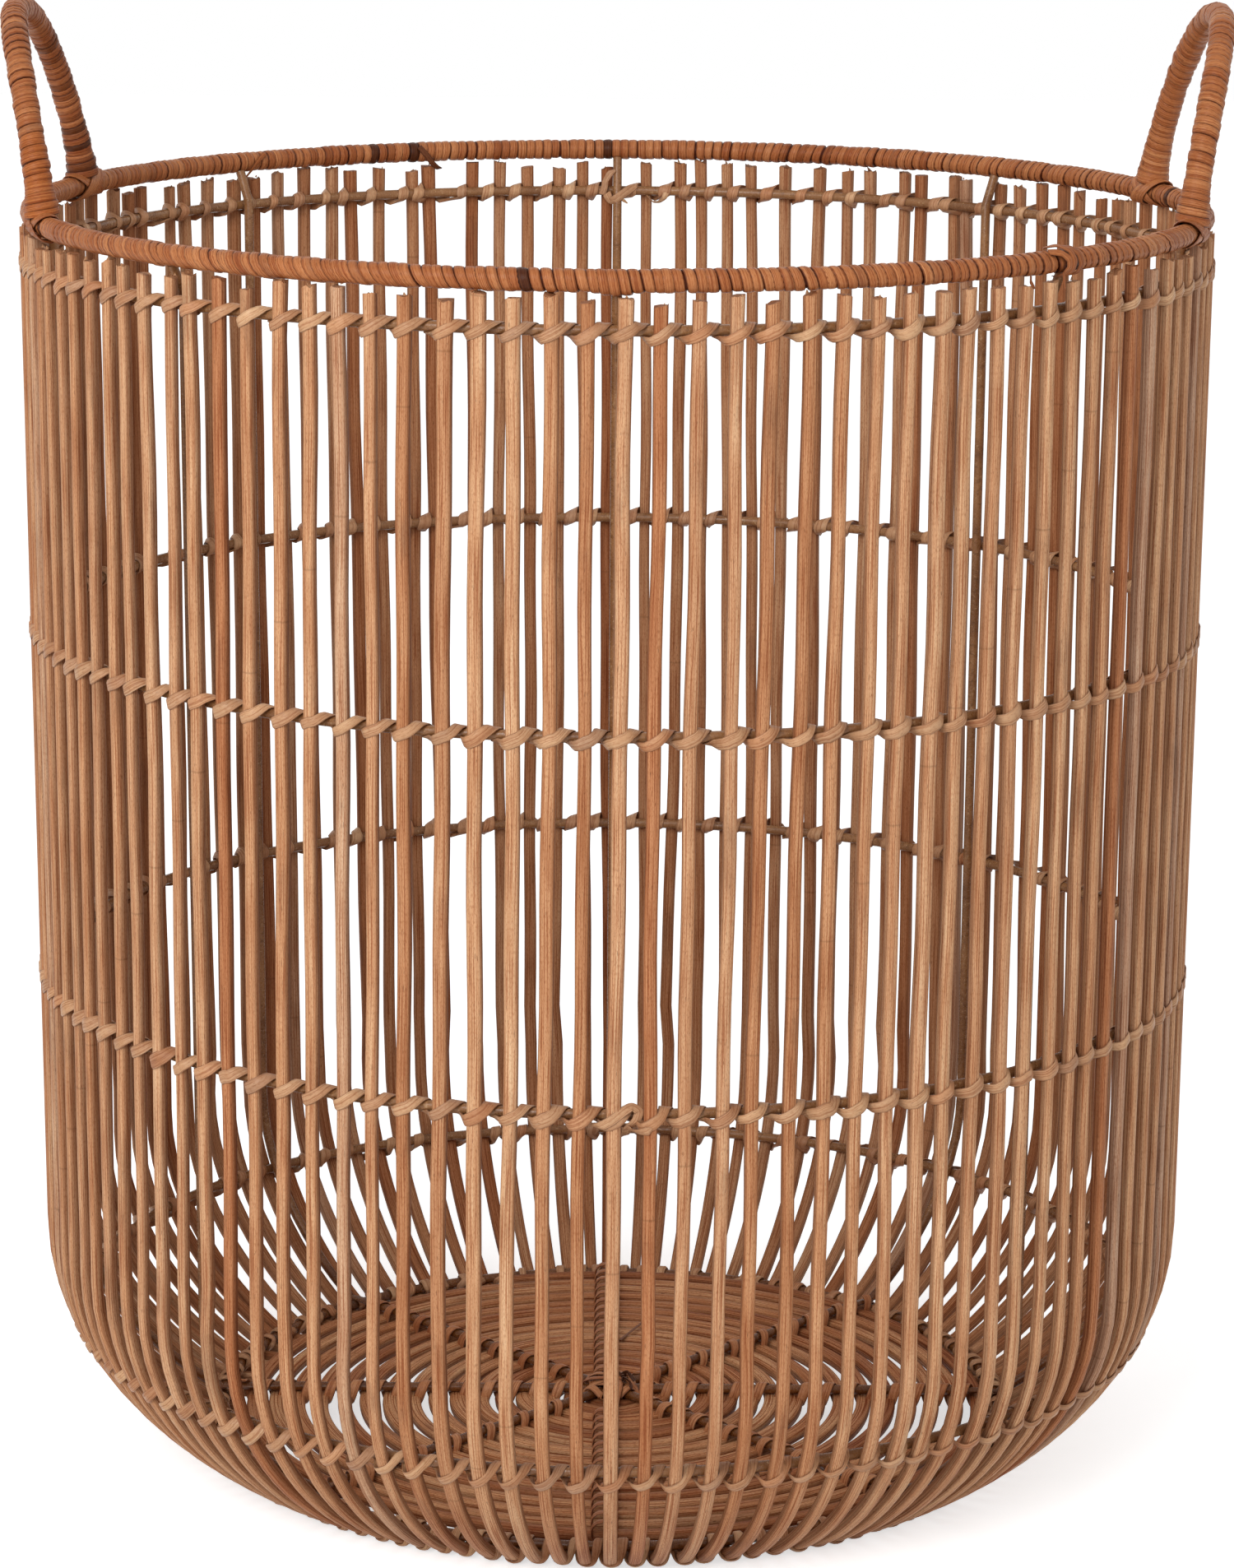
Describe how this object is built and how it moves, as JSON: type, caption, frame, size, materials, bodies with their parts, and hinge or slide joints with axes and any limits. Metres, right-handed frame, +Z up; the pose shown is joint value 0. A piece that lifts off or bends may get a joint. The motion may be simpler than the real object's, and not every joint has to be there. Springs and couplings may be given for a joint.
{
  "type": "storage basket",
  "caption": "Round open-top storage basket: upright canes tied to wire hoops over a coiled cane floor, with a bound rim and two fixed bow handles.",
  "frame": {"origin": "centre of the basket's footprint, on the plane of the cane feet that it stands on", "axes": "+Z up through the open top; the two handles stand on the X axis, at +X and -X; -Y is the front of the picture"},
  "size_m": [0.4686, 0.4596, 0.5724],
  "materials": {
    "cane": "bare split cane, satin, fine streaks along its length",
    "floor_cane": "bare cane, satin, redder than the wall",
    "peel": "wound cane peel, satin",
    "wire": "dark bronze paint, satin"
  },
  "bodies": {
    "root": {"base_ring": "wire", "cane_panel_1": "cane", "cane_panel_2": "cane", "cane_panel_3": "cane", "cane_panel_4": "cane", "cane_panel_5": "cane", "cane_panel_6": "cane", "cane_panel_7": "cane", "cane_panel_8": "cane", "cane_panel_9": "cane", "cane_panel_10": "cane", "cane_panel_11": "cane", "cane_panel_12": "cane", "cane_panel_13": "cane", "cane_panel_14": "cane", "cane_panel_15": "cane", "cane_panel_16": "cane", "cane_panel_17": "cane", "cane_panel_18": "cane", "cane_panel_19": "cane", "cane_panel_20": "cane", "cane_panel_21": "cane", "cane_panel_22": "cane", "cane_panel_23": "cane", "cane_panel_24": "cane", "cane_panel_25": "cane", "cane_panel_26": "cane", "cane_panel_27": "cane", "cane_panel_28": "cane", "floor_coil": "floor_cane", "handle_core_left": "wire", "handle_core_right": "wire", "handle_wrap_left": "peel", "handle_wrap_right": "peel", "hoop_1": "wire", "hoop_2": "wire", "hoop_3": "wire", "hoop_4": "wire", "rim_wire": "wire", "rim_wrap": "peel", "upright_1": "wire", "upright_2": "wire", "upright_3": "wire", "upright_4": "wire", "upright_5": "wire", "upright_6": "wire", "upright_7": "wire", "upright_8": "wire"}
  },
  "joints": []
}
